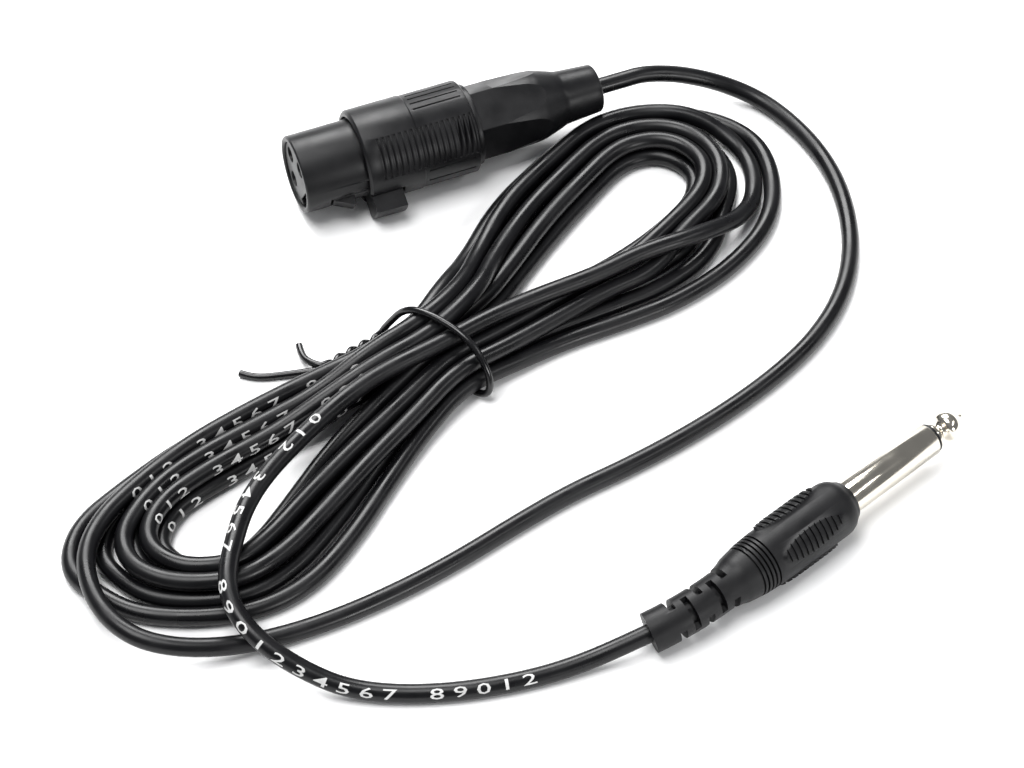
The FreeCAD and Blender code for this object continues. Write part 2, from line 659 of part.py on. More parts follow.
LEFT_STATIONS = [
    ((-12, -12.3), (-15.2, -0.6), "shoulder"),
    ((-24, -17.0), (-29, -5.9), "neck"),
    ((-36, -23.0), (-41, -10.9), "run"),
    ((-48, -27.2), (-50.2, -14.4), "loop"),
    ((-59, -28.2), (-58, -15.8), "loop"),
    ((-69, -25.5), (-63.3, -13.9), "loop"),
    ((-77, -18.5), (-66.4, -10.3), "loop"),
    ((-81.5, -9), (-66.3, -6.0), "loop"),
    ((-80.5, 0.5), (-63.3, -2.2), "loop"),
    ((-74, 7.8), (-58.5, 0.3), "loop"),
    ((-63, 12.3), (-52.5, 1.3), "loop"),
    ((-50, 14.0), (-46, 1.2), "loop"),
    ((-37, 13.3), (-35, 1.1), "run"),
    ((-24, 12.6), (-24, 0.4), "neck"),
    ((-12, 11.6), (-12, -0.6), "shoulder"),
    ((0, 10.13), (0, -2.03), "waist"),
]

# Column and row of turns 0 to 6 in a lobe: four spiral in on the floor, three out again above
LOBE_SEATS = [(0, 0), (1, 0), (2, 0), (3, 0), (2.5, 1), (1.5, 1), (0.5, 1)]
RIGHT_UPPER_SEATS = {
    "waist": [(0.6, 1), (1, 0), (2, 0), (3, 0), (3, 1), (3, 2), (2, 1)],
    "shoulder": [(0.3, 0.8), (1, 0), (2, 0), (3, 0), (2.85, 1), (2.15, 1.8), (1.45, 1)],
    "neck": [(0, 0.1), (1, 0), (2, 0), (3, 0), (2.65, 1), (1.7, 1.36), (0.6, 1)],
    "run": [(0, 0), (1, 0), (2, 0), (3, 0), (2.8, 1), (1.76, 1), (0.72, 1)],
    "beside the boot": [(0, 0), (1, 0), (2, 0), (3, 0), (2.92, 1), (1.9, 1), (0.86, 1)],
    "past the boot": [(0, 0), (1, 0), (2, 0), (3, 0), (2.78, 1), (1.72, 1), (0.66, 1)],
}
RIGHT_LOWER_SEATS = {
    "waist": [(0, 0), (1, 0), (2, 0), (2, 1), (1, 1), (0, 1), (2, 2)],
    "shoulder": [(0, 0), (1, 0), (2, 0), (2.3, 1), (1.3, 1), (0.3, 1), (1.8, 2)],
    "neck": [(0, 0), (1, 0), (2, 0), (2.85, 0.65), (1.8, 1.05), (0.75, 1.05), (1.25, 2.1)],
    "run": [(0, 0), (1, 0), (2, 0), (3, 0), (2.4, 1), (1.35, 1), (0.65, 1.95)],
}
LEFT_UPPER_SEATS = {
    "waist": [(-0.4, 1), (0, 0), (1, 0), (2, 0), (2, 1), (2, 2), (1, 1)],
    "shoulder": [(0.1, 1), (0, 0), (1, 0), (2, 0), (2.3, 1), (2.1, 2), (1.1, 1)],
    "neck": [(0.25, 1), (0, 0), (1, 0), (2, 0), (2.75, 0.75), (2.2, 1.65), (1.25, 1)],
    "run": [(0.4, 1), (0, 0), (1, 0), (2, 0), (3, 0.3), (2.45, 1.2), (1.4, 1)],
}
LEFT_LOBE_SEATS = [None, (0, 0), (1, 0), (2, 0), (3, 0), (2.5, 1), (1.5, 1)]
LEFT_LOWER_SEATS = {
    "waist": [None, (0, 0), (1, 0), (2, 0), (2, 1), (1, 1), (0, 1)],
    "shoulder": [None, (0, 0), (1, 0), (2, 0), (2.2, 1), (1.2, 1), (0.2, 1)],
    "neck": [None, (0, 0), (1, 0), (2, 0), (2.4, 0.95), (1.4, 1), (0.4, 1)],
    "run": [None, (0, 0), (1, 0), (2, 0), (2.8, 0.65), (1.75, 1.05), (0.75, 1.05)],
}
LIFTS = {"waist": WAIST_LIFT, "shoulder": SHOULDER_LIFT}
HANK_TURNS = 7
LEAD = 4.5


def seat_point(station, seat):
    """Centre of a strand at a station, in the hank's frame."""
    (outer_u, outer_v), (inner_u, inner_v), kind = station
    column, row = seat
    part = column / 3
    height = LIFTS.get(kind, 0.0) + CORD_R + row * PITCH
    return Vector(outer_u + part * (inner_u - outer_u), outer_v + part * (inner_v - outer_v), height)


def half_turn(stations, first_seats, last_seats, lobe_seats, turn):
    """Stations of one half turn; the two seat tables are for its first and its last run."""
    tip = len(stations) // 2
    points = []
    for place, station in enumerate(stations):
        table = first_seats if place < tip else last_seats
        seats = table.get(station[2], lobe_seats)
        points.append(seat_point(station, seats[turn]))
    return points


def hank_points():
    """All stations of the hank, from its first upper seat on the waist to its last lower one."""
    points = []
    for turn in range(HANK_TURNS):
        right = half_turn(RIGHT_STATIONS, RIGHT_UPPER_SEATS, RIGHT_LOWER_SEATS, LOBE_SEATS, turn)
        points += right if turn == 0 else right[1:]
        if turn < HANK_TURNS - 1:
            points += half_turn(LEFT_STATIONS, LEFT_LOWER_SEATS, LEFT_UPPER_SEATS, LEFT_LOBE_SEATS, turn + 1)
    return points


ENTRY_WAY = Vector(12.0, 0.6, 1.0).normalize()
EXIT_WAY = Vector(-12.0, -1.0, -0.3).normalize()


def hank_wire():
    """Path of the whole hank, with a straight lead at each end."""
    points = hank_points()
    ways = [ENTRY_WAY] + station_ways(points) + [EXIT_WAY]
    edges = [Part.LineSegment(points[0] - ENTRY_WAY * LEAD, points[0]).toShape()]
    for here, way, there, next_way in zip(points, ways, points[1:], ways[1:]):
        edges += biarc(here, way, there, next_way)
    edges.append(Part.LineSegment(points[-1], points[-1] + EXIT_WAY * LEAD).toShape())
    return Part.Wire(Part.__sortEdges__(edges))


def least_gap(wire, diameter):
    """Least clear gap of a tube to itself, on points 1 mm apart, leaving out its own next 15 mm."""
    points = wire.discretize(Distance=1.0)
    cell = 6.0
    grid = {}
    for index, point in enumerate(points):
        key = (int(point.x // cell), int(point.y // cell), int(point.z // cell))
        grid.setdefault(key, []).append(index)
    least = (99.0, 0, 0)
    for index, point in enumerate(points):
        i, j, k = int(point.x // cell), int(point.y // cell), int(point.z // cell)
        for step in itertools.product((-1, 0, 1), repeat=3):
            for other in grid.get((i + step[0], j + step[1], k + step[2]), []):
                if other - index > 15:
                    least = min(least, (point.distanceToPoint(points[other]), index, other))
    return least[0] - diameter, points[least[1]], points[least[2]]


def make_hank():
    wire = hank_wire()
    gap, one, other = least_gap(wire, CORD_D)
    print(f"cord_hank: length {wire.Length:.1f}, least gap to itself {gap:.2f} between {one} and {other}")
    radii = [edge.Curve.Radius for edge in wire.Edges if hasattr(edge.Curve, "Radius")]
    print(f"cord_hank: {len(wire.Edges)} edges, least radius {min(radii):.1f}")
    save("cord_hank", swept(wire, CORD_R, "cord_hank"), HANK_PLACE)


# Free ends of the cord. The middle points of each route are read off the way the cord lies; its
# first two and last two points carry on from what it meets.

XLR_TAIL_ROUTE = [
    (15.9, 71.8, 7.2), (25.2, 72.1, 3.9), (33.2, 68.7, 1.8), (40.9, 59.4, 1.75),
    (45.6, 49.4, 1.75), (47.9, 38.0, 1.75), (47.9, 26.3, 1.75), (45.0, 15.0, 1.75),
    (39.2, 4.6, 1.75), (31.3, -4.4, 1.75), (22.2, -12.6, 1.75), (12.4, -20.0, 1.75),
    (2.2, -26.7, 1.75), (-8.3, -32.7, 1.75), (-18.3, -39.9, 1.75), (-28.5, -47.8, 1.75),
    (-39.3, -55.0, 1.75), (-51.0, -61.4, 1.8), (-62.9, -66.2, 2.1), (-73.6, -69.0, 3.7),
    (-82.9, -68.7, 5.0), (-89.4, -64.9, 5.7), (-94.3, -58.4, 5.8), (-96.8, -49.9, 5.8),
    (-95.2, -40.4, 5.8), (-89.4, -31.1, 5.8), (-80.3, -22.4, 5.8), (-70.2, -14.2, 5.8),
    (-59.8, -7.3, 5.9),
]
JACK_TAIL_ROUTE = [
    (-50.6, -19.1, 10.8), (-58.9, -26.4, 10.3), (-64.7, -34.6, 10.0), (-67.9, -41.8, 9.9),
    (-69.4, -49.0, 9.9), (-69.2, -55.9, 9.9), (-67.4, -61.4, 9.6), (-64.6, -66.1, 8.6),
    (-60.6, -70.4, 6.6), (-55.4, -73.8, 4.4), (-48.7, -76.4, 2.5), (-40.1, -77.8, 1.75),
    (-29.6, -77.3, 1.75), (-19.4, -75.3, 1.75), (-10.7, -72.5, 1.8),
]
EXIT_RUN = 11.0
JOIN_RUN = 8.5
RELIEF_RUN = 8.0

# Tie wire, in the hank's frame: one free end, once round the waist, the other free end
TIE_ROUTE = [
    (-19.6, 21.0, 1.6), (-18.6, 17.3, 1.5), (-15.0, 15.2, 1.2), (-8.5, 14.5, 1.0),
    (-2.6, 13.6, 0.75), (-1.3, 9.0, 0.65), (-1.0, 0.0, 0.66), (-1.1, -13.5, 0.65),
    (-0.8, -13.4, 8.9), (-0.5, -2.8, 14.35), (-0.3, 2.8, 14.4), (0.2, 15.2, 8.9),
    (0.3, 13.4, 3.4), (-3.4, 14.6, 2.8), (-10.0, 15.9, 3.4), (-20.0, 16.6, 4.6),
    (-32.0, 20.5, 3.6),
]


def xlr_tail_points():
    """Out of the boot, over the floor, and up on the hank to its first strand."""
    mouth = XLR_PLACE.multVec(Vector(BOOT_END, 0, 0))
    straight = XLR_PLACE.multVec(Vector(BOOT_END + EXIT_RUN, 0, 0))
    join = hank_points()[0] - ENTRY_WAY * LEAD
    before_join = HANK_PLACE.multVec(join - ENTRY_WAY * JOIN_RUN)
    middle = [Vector(*point) for point in XLR_TAIL_ROUTE]
    return [mouth, straight] + middle + [before_join, HANK_PLACE.multVec(join)]


def jack_tail_points():
    """From the hank's last strand, over the loops and down to the strain relief."""
    join = hank_points()[-1] + EXIT_WAY * LEAD
    after_join = HANK_PLACE.multVec(join + EXIT_WAY * JOIN_RUN)
    end = JACK_PLACE.multiply(relief_place(RELIEF_END))
    middle = [Vector(*point) for point in JACK_TAIL_ROUTE]
    before_end = end.multVec(Vector(-RELIEF_RUN, 0, 0))
    return [HANK_PLACE.multVec(join), after_join] + middle + [before_end, end.Base]


def make_tails():
    for node, points in (("cord_xlr_tail", xlr_tail_points()), ("cord_jack_tail", jack_tail_points())):
        print(f"{node}: from {points[0]}, {points[1]} to {points[-2]}, {points[-1]}")
        save(node, swept(rounded_route(points, node), CORD_R, node))


def make_tie():
    route = [Vector(*point) for point in TIE_ROUTE]
    wire = rounded_route(route, "tie_wire")
    gap, one, other = least_gap(wire, 2 * TIE_WIRE_R)
    print(f"tie_wire: least gap to itself {gap:.2f} between {one} and {other}")
    save("tie_wire", swept(wire, TIE_WIRE_R, "tie_wire"), HANK_PLACE)


if __name__ == "__main__":
    make_xlr()
    make_jack()
    make_hank()
    make_tails()
    make_tie()
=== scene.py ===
"""A thin microphone cord in a tied hank, with its three-pole connector and its jack plug.

The hard pieces come from the packed model and get their finish here. The cord, its print and its
wire tie are modelled here, on the places that the model holds. Sizes are written in millimetres
and turned to metres by MM where a mesh, a curve, a pattern or a light is made.
"""

import bisect
import json
import logging
import math
from abc import ABC, abstractmethod
from collections.abc import Iterable, Iterator, Mapping, Sequence
from dataclasses import dataclass, field
from enum import Enum
from itertools import accumulate, cycle, pairwise
from typing import NamedTuple

import bmesh
import bpy
from mathutils import Matrix, Vector

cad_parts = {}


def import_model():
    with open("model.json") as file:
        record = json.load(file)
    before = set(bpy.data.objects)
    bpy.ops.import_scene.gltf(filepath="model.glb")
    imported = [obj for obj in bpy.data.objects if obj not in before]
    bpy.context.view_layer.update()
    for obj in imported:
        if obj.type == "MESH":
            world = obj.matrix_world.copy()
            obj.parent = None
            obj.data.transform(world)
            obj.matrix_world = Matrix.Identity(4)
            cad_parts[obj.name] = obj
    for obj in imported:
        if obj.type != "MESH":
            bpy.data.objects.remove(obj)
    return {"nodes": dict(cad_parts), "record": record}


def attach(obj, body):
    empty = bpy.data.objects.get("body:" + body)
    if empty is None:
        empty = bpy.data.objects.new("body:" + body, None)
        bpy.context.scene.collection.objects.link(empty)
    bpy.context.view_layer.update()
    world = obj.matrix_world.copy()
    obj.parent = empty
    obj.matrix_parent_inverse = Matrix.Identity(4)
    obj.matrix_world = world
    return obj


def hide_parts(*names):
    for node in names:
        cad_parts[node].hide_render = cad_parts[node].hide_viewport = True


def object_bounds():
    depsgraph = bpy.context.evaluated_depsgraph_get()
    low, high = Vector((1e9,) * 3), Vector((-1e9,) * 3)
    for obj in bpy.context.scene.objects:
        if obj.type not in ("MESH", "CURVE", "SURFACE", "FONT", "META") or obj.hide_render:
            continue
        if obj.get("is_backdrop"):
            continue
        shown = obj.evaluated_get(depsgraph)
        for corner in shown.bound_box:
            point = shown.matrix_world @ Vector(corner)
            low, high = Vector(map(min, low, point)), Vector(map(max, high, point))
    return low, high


MM = 0.001
EDGE_MM = 0.12
EDGE_ANGLE = 35.0
EDGE_SEGMENTS = 2
WELD_MM = 0.001
LOG = logging.getLogger("cord")

Triple = tuple[float, float, float]
Pair = tuple[float, float]
Station = tuple[Pair, Pair, str]
Seats = tuple[Pair | None, ...]


class Slot(Enum):
    """Names of the record's material slots for the cord's jacket and the tie's jacket."""

    CORD = "cord_jacket"
    TIE = "tie_jacket"


class Facing(Enum):
    """Side of a strand that its print faces, as a direction in the frame."""

    FREE_END = (-0.45, -0.62, 0.64)
    LOOP = (0.30, -0.90, 0.30)


class Span(NamedTuple):
    """A printed stretch: its start and end along the cord in metres, and the side it faces."""

    start: float
    end: float
    facing: Facing


def linear(hex_colour: str) -> tuple[float, float, float, float]:
    """Turn an sRGB hex colour to linear red, green, blue and alpha.

    Args:
        hex_colour: Six hex digits, such as "1a1a1c".

    Returns:
        The linear colour with alpha 1.
    """
    channels = [int(hex_colour[i : i + 2], 16) / 255 for i in (0, 2, 4)]
    bent = [c / 12.92 if c <= 0.04045 else ((c + 0.055) / 1.055) ** 2.4 for c in channels]
    return (bent[0], bent[1], bent[2], 1.0)


def add_node(
    tree: bpy.types.NodeTree, kind: str, links: dict | None = None, **settings
) -> bpy.types.Node:
    """Add one shader node.

    Args:
        tree: The node tree it goes into.
        kind: The node's type name.
        links: Input name to an output socket or to a plain value.
        settings: Attributes of the node.

    Returns:
        The new node.
    """
    node = tree.nodes.new(kind)
    for name, value in settings.items():
        setattr(node, name, value)
    for name, value in (links or {}).items():
        if isinstance(value, bpy.types.NodeSocket):
            tree.links.new(value, node.inputs[name])
        else:
            node.inputs[name].default_value = value
    return node


def add_object(name: str, data: bpy.types.ID) -> bpy.types.Object:
    """Add an object with the given data to the scene, unturned at the origin.

    Args:
        name: Name of the object.
        data: Its mesh, curve, light or camera.

    Returns:
        The new object.
    """
    thing = bpy.data.objects.new(name, data)
    bpy.context.scene.collection.objects.link(thing)
    return thing


def mesh_of(thing: bpy.types.Object) -> bpy.types.Mesh:
    """Turn a text or a curve to a new mesh, in its own coordinates."""
    bpy.context.view_layer.update()
    depsgraph = bpy.context.evaluated_depsgraph_get()
    return bpy.data.meshes.new_from_object(thing.evaluated_get(depsgraph))


@dataclass(frozen=True)
class Finish(ABC):
    """A real surface, drawn on Object coordinates with its patterns sized in millimetres."""

    name: str
    colour: str
    roughness: float

    @abstractmethod
    def material(self) -> bpy.types.Material:
        """Build the shader and return the material."""

    def start(self) -> tuple[bpy.types.Material, bpy.types.NodeTree, bpy.types.NodeSocket]:
        """Make the material, and return it with its empty tree and its coordinates."""
        material = bpy.data.materials.new(self.name)
        material.use_nodes = True
        tree = material.node_tree
        tree.nodes.clear()
        return material, tree, add_node(tree, "ShaderNodeTexCoord").outputs["Object"]

    def close(
        self, tree: bpy.types.NodeTree, relief: bpy.types.NodeSocket, height_mm: float, look: dict
    ) -> None:
        """Add the fine relief, the shader and the output.

        Args:
            tree: The material's node tree.
            relief: Pattern that the surface rises and falls by.
            height_mm: Height of the relief.
            look: The shader's other inputs.
        """
        height = {"Height": relief, "Strength": 1.0, "Distance": height_mm * MM}
        bump = add_node(tree, "ShaderNodeBump", height)
        look = {**look, "Normal": bump.outputs["Normal"]}
        shader = add_node(tree, "ShaderNodeBsdfPrincipled", look)
        add_node(tree, "ShaderNodeOutputMaterial", {"Surface": shader.outputs["BSDF"]})


@dataclass(frozen=True)
class Plastic(Finish):
    """A moulded or extruded plastic.

    A faint cloudiness in its colour and sheen and a fine grain in its surface keep it from
    looking painted. Real mould grain is finer than 0.1 mm; it is drawn coarser, so that it shows.
    """

    cloud_colour: str
    grain_mm: float
    grain_height_mm: float
    ior: float = 1.52
    scuff: float = 0.08
    cloud_mm: float = 6.0
    cloud_range: Pair = (0.35, 0.7)
    sheen_range: Pair = (0.3, 0.7)

    def material(self) -> bpy.types.Material:
        """Build the shader and return the material."""
        material, tree, place = self.start()
        cloud_look = {"Vector": place, "Scale": 1 / (self.cloud_mm * MM), "Detail": 3.0}
        cloud = add_node(tree, "ShaderNodeTexNoise", cloud_look).outputs["Fac"]
        grain_look = {"Vector": place, "Scale": 1 / (self.grain_mm * MM), "Detail": 2.0}
        grain = add_node(tree, "ShaderNodeTexNoise", grain_look).outputs["Fac"]
        low, high = self.cloud_range
        tone_look = {"Value": cloud, "From Min": low, "From Max": high}
        tone = add_node(tree, "ShaderNodeMapRange", tone_look).outputs["Result"]
        mix = {"Factor": tone, "A": linear(self.colour), "B": linear(self.cloud_colour)}
        colour = add_node(tree, "ShaderNodeMix", mix, data_type="RGBA").outputs["Result"]
        low, high = self.sheen_range
        rough_look = {
            "Value": cloud,
            "From Min": low,
            "From Max": high,
            "To Min": self.roughness - self.scuff,
            "To Max": self.roughness + self.scuff,
        }
        rough = add_node(tree, "ShaderNodeMapRange", rough_look).outputs["Result"]
        look = {"Base Color": colour, "Roughness": rough, "IOR": self.ior}
        self.close(tree, grain, self.grain_height_mm, look)
        return material


@dataclass(frozen=True)
class Plate(Finish):
    """A plated or bare metal with fine working lines and a few dull smudges.

    Real lines lie under 0.1 mm apart; they are drawn wider and very shallow, so that they break
    up the reflections a little.
    """

    line_mm: float = 0.25
    line_height_mm: float = 0.0004
    stretch: float = 0.02
    smudge_mm: float = 4.0
    smudge: float = 0.12
    smudge_range: Pair = (0.35, 0.75)

    def material(self) -> bpy.types.Material:
        """Build the shader and return the material."""
        material, tree, place = self.start()
        drawn_out = {"Vector": place, "Scale": (1.0, self.stretch, self.stretch)}
        along = add_node(tree, "ShaderNodeMapping", drawn_out).outputs["Vector"]
        line_look = {"Vector": along, "Scale": 1 / (self.line_mm * MM), "Detail": 2.0}
        lines = add_node(tree, "ShaderNodeTexNoise", line_look).outputs["Fac"]
        smudge_look = {"Vector": place, "Scale": 1 / (self.smudge_mm * MM), "Detail": 4.0}
        smudges = add_node(tree, "ShaderNodeTexNoise", smudge_look).outputs["Fac"]
        low, high = self.smudge_range
        rough_look = {
            "Value": smudges,
            "From Min": low,
            "From Max": high,
            "To Min": self.roughness,
            "To Max": self.roughness + self.smudge,
        }
        rough = add_node(tree, "ShaderNodeMapRange", rough_look).outputs["Result"]
        look = {"Base Color": linear(self.colour), "Metallic": 1.0, "Roughness": rough}
        self.close(tree, lines, self.line_height_mm, look)
        return material


def laid(place: Triple, azimuth: float) -> Matrix:
    """Place of a thing that lies at a point and is turned about the vertical, in degrees."""
    return Matrix.Translation(place) @ Matrix.Rotation(math.radians(azimuth), 4, "Z")


@dataclass
class Bench:
    """Where the connectors and the hank lie, as the packed model holds them.

    Attributes:
        xlr_face: Middle of the three-pole connector's face.
        xlr_azimuth: Direction of its axis, in degrees from X.
        xlr_roll: Turn round its axis, in degrees.
        boot_end: Distance from its face to its boot's end.
        jack_face: Middle of the front face of the jack's body.
        jack_azimuth: Direction of the jack's axis.
        relief_start: Place on the jack's axis where the strain relief starts to bend.
        relief_bend_r: Radius of that bend.
        relief_bend: Angle of that bend.
        relief_side: Sideways share of the bend; the rest of it goes down.
        waist: Middle of the hank's waist, on the floor.
        hank_azimuth: Direction of the hank's length.
    """

    xlr_face: Triple = (-62.4, 40.8, 9.65)
    xlr_azimuth: float = 22.2
    xlr_roll: float = 123.5
    boot_end: float = 65.0
    jack_face: Triple = (42.0, -37.4, 5.74)
    jack_azimuth: float = 40.8
    relief_start: float = -32.0
    relief_bend_r: float = 41.0
    relief_bend: float = 21.0
    relief_side: float = 0.84
    waist: Triple = (-32.9, -2.6, 0.08)
    hank_azimuth: float = 36.0

    def xlr(self) -> Matrix:
        """Place of the three-pole connector: axis along X, latch on top, face at X = 0."""
        roll = Matrix.Rotation(math.radians(self.xlr_roll), 4, "X")
        return laid(self.xlr_face, self.xlr_azimuth) @ roll

    def jack(self) -> Matrix:
        """Place of the jack: tip towards X, body's front face at X = 0."""
        return laid(self.jack_face, self.jack_azimuth)

    def hank(self) -> Matrix:
        """Place of the hank: X along the loops, the waist at the origin."""
        return laid(self.waist, self.hank_azimuth)

    def relief_mouth(self) -> tuple[Vector, Vector]:
        """Centre of the strain relief's mouth and the direction in which the cord leaves it."""
        angle = math.radians(self.relief_bend)
        side, down = self.relief_side, -math.sqrt(1 - self.relief_side**2)
        off = self.relief_bend_r * (1 - math.cos(angle))
        back = self.relief_start - self.relief_bend_r * math.sin(angle)
        way = Vector((-math.cos(angle), side * math.sin(angle), down * math.sin(angle)))
        mouth = Vector((back, side * off, down * off))
        return self.jack() @ mouth, self.jack().to_3x3() @ way


@dataclass(frozen=True)
class Lobe:
    """The loops on one side of the waist.

    Attributes:
        stations: Places of column 0 and of column 3 across the cord, and the station's kind.
        way_out: By kind, the seats up to the tip: each turn's column and row there, or None
            for a turn that doesn't come by.
        way_back: By kind, the seats from the tip on.
    """

    stations: Sequence[Station]
    way_out: Mapping[str, Seats]
    way_back: Mapping[str, Seats]


RIGHT_LOBE = Lobe(
    stations=(
        ((0, 13.4), (0, 2.75), "waist"),
        ((9, 14.8), (14.3, 5.3), "shoulder"),
        ((20, 19.3), (25.6, 10.1), "neck"),
        ((33, 27.0), (37.8, 15.1), "run"),
        ((47, 31.4), (49, 19.1), "run"),
        ((60, 34.0), (59.5, 22.2), "run"),
        ((71.5, 31.0), (66.3, 21.0), "run"),
        ((81.5, 23.6), (69.8, 17.3), "upper tip"),
        ((86.2, 13), (70.6, 12.3), "tip"),
        ((83.3, 2.5), (68.6, 8.6), "tip"),
        ((75, -6.8), (63.5, 5.8), "lower tip"),
        ((62, -11.9), (54, 3.2), "wide run"),
        ((48, -13.0), (45, 1.9), "low run"),
        ((36, -11.3), (35, 1.7), "run"),
        ((24, -8.8), (24, 2.3), "neck"),
        ((12, -7.8), (12, 2.8), "shoulder"),
        ((0, -7.9), (0, 2.75), "waist"),
    ),
    way_out={
        "waist": ((1.5, 1), (1, 0), (2, 0), (3, 0), (2.5, 1), (3, 2), (2, 2)),
        "shoulder": ((0.5, 1.2), (1, 0), (2, 0), (3, 0), (2.6, 1), (2.45, 2.05), (1.5, 1.95)),
        "neck": ((0, 0.25), (1, 0), (2, 0), (3, 0), (2.65, 1), (1.75, 1.45), (0.7, 1.05)),
        "run": ((0, 0), (1, 0), (2, 0), (3, 0), (2.6, 1), (1.6, 1), (0.55, 1)),
        "upper tip": ((0, 0), (1.3, 0), (2.15, 0), (3, 0), (2.6, 1), (1.75, 1), (0.65, 0.9)),
    },
    way_back={
        "tip": ((0, 0), (1.65, 0), (2.33, 0), (3, 0), (2.65, 1), (2.0, 1), (0.7, 0.1)),
        "lower tip": ((0, 0), (1.6, 0), (2.25, 0), (2.9, 0), (2.6, 1), (1.95, 1), (0.8, 0.4)),
        "wide run": ((0, 0), (1, 0), (1.75, 0), (2.95, 0), (2.6, 0.95), (1.95, 1.05), (1.2, 1.75)),
        "low run": ((0, 0), (0.9, 0), (1.85, 0), (3, 0), (2.5, 0.75), (1.45, 0.95), (1.85, 2.0)),
        "run": ((0, 0), (1, 0), (2, 0), (3, 0.07), (2.4, 0.95), (1.4, 1), (1.9, 2.0)),
        "neck": ((0, 0), (1, 0), (2, 0), (2.95, 0.4), (1.95, 1.1), (0.9, 1.1), (1.95, 2.15)),
        "shoulder": ((0, 0), (1, 0), (2, 0), (2.7, 0.95), (1.65, 1.05), (0.6, 1), (2.1, 2.05)),
        "waist": ((0, 0), (1, 0), (2, 0), (2.5, 1), (1.5, 1), (0.5, 1), (2, 2)),
    },
)

LEFT_LOBE = Lobe(
    stations=(
        ((-12, -11.6), (-15, -1.1), "shoulder"),
        ((-24, -17.2), (-29, -5.3), "neck"),
        ((-36, -23.3), (-41, -10.6), "run"),
        ((-48, -27.4), (-50.5, -14.6), "loop"),
        ((-59, -26.9), (-58, -15.6), "loop"),
        ((-69, -21.9), (-63.3, -12.9), "loop"),
        ((-76.8, -15.2), (-65.4, -9.6), "loop"),
        ((-80.3, -8), (-65.8, -5.3), "loop"),
        ((-81.7, 0.3), (-63.2, -1.8), "far loop"),
        ((-75.2, 7.4), (-58.3, 0.7), "upper loop"),
        ((-63, 10.4), (-52.3, 1.4), "late loop"),
        ((-50, 12.1), (-46, 1.6), "late loop"),
        ((-37, 12.0), (-35, 1.5), "run"),
        ((-24, 11.1), (-24, 0.4), "neck"),
        ((-12, 10.2), (-12, -0.5), "shoulder"),
        ((0, 9.85), (0, -0.8), "waist"),
    ),
    way_out={
        "shoulder": (None, (0, 0), (1, 0), (2, 0), (2.75, 0.85), (1.65, 1), (0.6, 1)),
        "neck": (None, (0, 0), (0.9, 0), (1.8, 0), (2.95, 0.3), (2.0, 1.0), (1.0, 1)),
        "run": (None, (0, 0), (0.95, 0), (1.9, 0), (3, 0), (2.4, 0.9), (1.35, 0.95)),
        "loop": (None, (0, 0), (1, 0), (2, 0), (3, 0), (2.5, 1), (1.5, 1)),
    },
    way_back={
        "far loop": (None, (0, 0), (1, 0), (2, 0), (3, 0), (2.6, 1), (1.75, 1)),
        "upper loop": (None, (0, 0), (1, 0), (2, 0), (3, 0), (2.65, 1), (1.9, 1.05)),
        "late loop": (None, (0, 0), (1, 0), (2, 0), (3, 0), (2.6, 1), (1.6, 1)),
        "run": (None, (0, 0), (1, 0), (2, 0), (3, 0.15), (2.6, 1.05), (1.6, 1)),
        "neck": (None, (0, 0), (1, 0), (2, 0), (2.75, 0.75), (2.35, 1.75), (1.5, 1.3)),
        "shoulder": (None, (0, 0), (1, 0), (2, 0), (2.0, 1.07), (2.1, 2.15), (1.1, 1.9)),
        "waist": (None, (0, 0), (1, 0), (2, 0), (1.5, 1), (2, 2), (1, 2)),
    },
)


@dataclass
class Hank:
    """The cord's loops on both sides of the waist, in turns that spiral in and out again.

    The strands lie in columns across the hank and in rows above each other. Near the tie the
    lowest row lies a little above the floor.
    """

    cord_d: float = 3.5
    row_pitch: float = 3.3
    last_column: int = 3
    lift: Mapping[str, float] = field(default_factory=lambda: {"waist": 1.6, "shoulder": 0.6})
    turns: int = 7
    right: Lobe = RIGHT_LOBE
    left: Lobe = LEFT_LOBE

    def seat_point(self, station: Station, seat: Pair) -> Vector:
        """Centre of a strand at a station, in the hank's frame.

        Args:
            station: Places of columns 0 and 3, and the station's kind.
            seat: Column and row of the strand there.

        Returns:
            The point in millimetres.
        """
        (outer_u, outer_v), (inner_u, inner_v), kind = station
        column, row = seat
        part = column / self.last_column
        height = self.lift.get(kind, 0.0) + self.cord_d / 2 + row * self.row_pitch
        u = outer_u + part * (inner_u - outer_u)
        v = outer_v + part * (inner_v - outer_v)
        return Vector((u, v, height))

    def half_turn(self, lobe: Lobe, turn: int) -> list[Vector]:
        """Points of one half turn, from the waist round a lobe's tip and back.

        Args:
            lobe: The side of the waist.
            turn: Number of the turn.

        Returns:
            The strand's points in the hank's frame.
        """
        tip = len(lobe.stations) // 2
        points = []
        for place, station in enumerate(lobe.stations):
            seats = lobe.way_out if place < tip else lobe.way_back
            points.append(self.seat_point(station, seats[station[2]][turn]))
        return points

    def points(self) -> list[Vector]:
        """All points of the loops in the hank's frame, in order along the cord."""
        points = self.half_turn(self.right, 0)
        for turn in range(1, self.turns):
            points += self.half_turn(self.left, turn)
            # The left half turn ends on the waist, where the right one starts.
            points += self.half_turn(self.right, turn)[1:]
        return points


